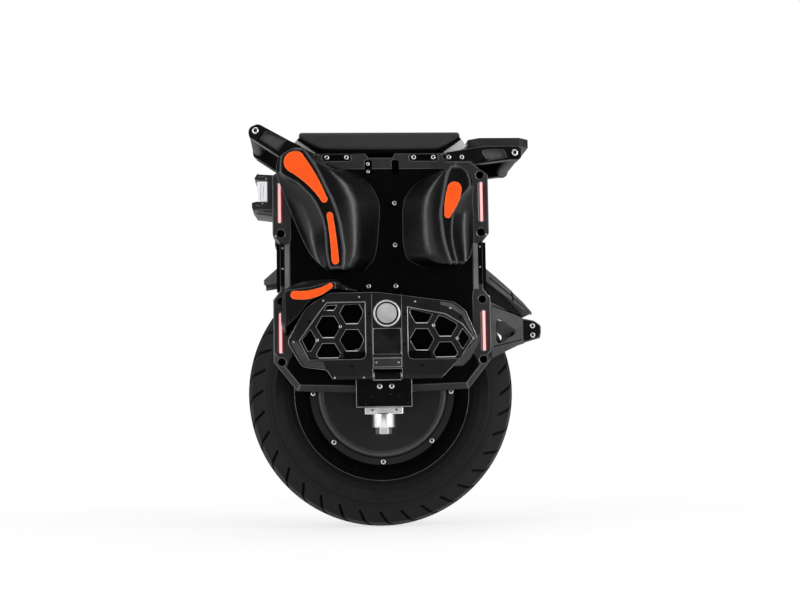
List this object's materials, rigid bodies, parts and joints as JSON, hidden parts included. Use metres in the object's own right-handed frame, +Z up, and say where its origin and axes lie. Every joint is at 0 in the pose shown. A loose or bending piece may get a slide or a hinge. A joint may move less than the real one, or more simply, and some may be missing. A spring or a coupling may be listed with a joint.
{
  "type": "electric unicycle",
  "caption": "Electric unicycle with a large tyre, sprung boxy body, moulded leg pads, seat, carrying handles and folding honeycomb pedals.",
  "frame": {"origin": "point on the ground under the axle, in the wheel's middle plane", "axes": "+Z up, +X towards the rear, +Y to the rider's right"},
  "size_m": [0.5425, 0.3146, 0.747],
  "materials": {
    "tyre_rubber": "matt black tyre rubber with slanted tread grooves",
    "valve_rubber": "black rubber",
    "rim_black": "satin black coated aluminium",
    "motor_black": "satin brown-black coated aluminium",
    "steel": "bright zinc plated steel",
    "magnet_steel": "plated magnet steel",
    "machined_alu": "bright machined aluminium",
    "dark_alu": "black anodised aluminium",
    "frame_grey": "satin dark grey coated aluminium",
    "panel_black": "matt black panel",
    "grip_black": "fine textured black grip",
    "mudguard_grey": "textured dark grey plastic",
    "shell_grey": "light grey plastic",
    "seat_cover": "charcoal grained cover",
    "pad_black": "grained black moulded foam skin",
    "pad_orange": "matt orange rubber",
    "battery_wrap": "dark shrink wrap",
    "strip_light": "frosted light strip with red edges",
    "tail_red": "red lens",
    "lens_clear": "clear headlight lens",
    "socket_metal": "plated socket shell",
    "button_black": "gloss black button",
    "magnet_bar": "brushed magnet bar"
  },
  "bodies": {
    "chassis": {"frame_bolts": "steel", "hinge_pins": "steel", "guide_tubes": "steel", "rebound_caps": "machined_alu", "air_spring_cans": "dark_alu", "upper_crowns": "dark_alu", "hanger_left": "dark_alu", "hanger_right": "dark_alu", "control_box": "dark_alu", "front_rail_left": "frame_grey", "front_rail_right": "frame_grey", "rear_rail_left": "frame_grey", "rear_rail_right": "frame_grey", "top_bands": "frame_grey", "front_handle_arms": "frame_grey", "rear_handle_arms": "frame_grey", "rear_guard_arms": "frame_grey", "rear_guard_bar": "frame_grey", "side_panel_left": "panel_black", "side_panel_right": "panel_black", "column_covers": "panel_black", "inner_walls": "panel_black", "wheel_arch": "panel_black", "front_cover": "panel_black", "rear_cover": "panel_black", "headlight_housing": "panel_black", "seat_base": "panel_black", "front_grip_bar": "grip_black", "rear_grip_bar": "grip_black", "rear_grip_plate": "grip_black", "front_mudguard": "mudguard_grey", "rear_mudguard": "mudguard_grey", "rear_mudflap": "mudguard_grey", "top_shell": "shell_grey", "seat_pad": "seat_cover", "upper_pads": "pad_black", "rear_pads": "pad_black", "lower_pads": "pad_black", "pad_inserts": "pad_orange", "battery_packs": "battery_wrap", "side_lights": "strip_light", "tail_light": "tail_red", "headlight_lens": "lens_clear", "charge_socket": "socket_metal"},
    "axle_carrier": {"axle": "steel", "stator": "magnet_steel", "axle_blocks": "dark_alu", "air_spring_sleeves": "dark_alu"},
    "wheel": {"tyre": "tyre_rubber", "rim": "rim_black", "motor_covers": "motor_black", "motor_cover_bolts": "steel", "rotor_magnets": "magnet_steel", "wheel_bearings": "steel", "valve_stem": "valve_rubber"},
    "pedal_left": {"pedal_left": "dark_alu", "pedal_magnet_left": "magnet_bar"},
    "pedal_right": {"pedal_right": "dark_alu", "pedal_magnet_right": "magnet_bar"},
    "power_button": {"power_button": "button_black"}
  },
  "joints": [
    {"name": "suspension", "type": "slide", "parent": "chassis", "child": "axle_carrier", "axis": [0, 0, 1], "range_m": [0, 0.06], "stiffness_N_per_m": 15000, "springref_m": -0.03},
    {"name": "wheel_spin", "type": "hinge", "parent": "axle_carrier", "child": "wheel", "pos_m": [0, 0, 0.25], "axis": [0, 1, 0], "continuous": true},
    {"name": "left_pedal_fold", "type": "hinge", "parent": "chassis", "child": "pedal_left", "pos_m": [0.006, -0.1215, 0.28], "axis": [1, 0, 0], "range_deg": [0, 85]},
    {"name": "right_pedal_fold", "type": "hinge", "parent": "chassis", "child": "pedal_right", "pos_m": [0.006, 0.1215, 0.28], "axis": [-1, 0, 0], "range_deg": [0, 85]},
    {"name": "power_button_press", "type": "slide", "parent": "chassis", "child": "power_button", "axis": [-1, 0, 0], "range_m": [0, 0.002], "stiffness_N_per_m": 400}
  ]
}
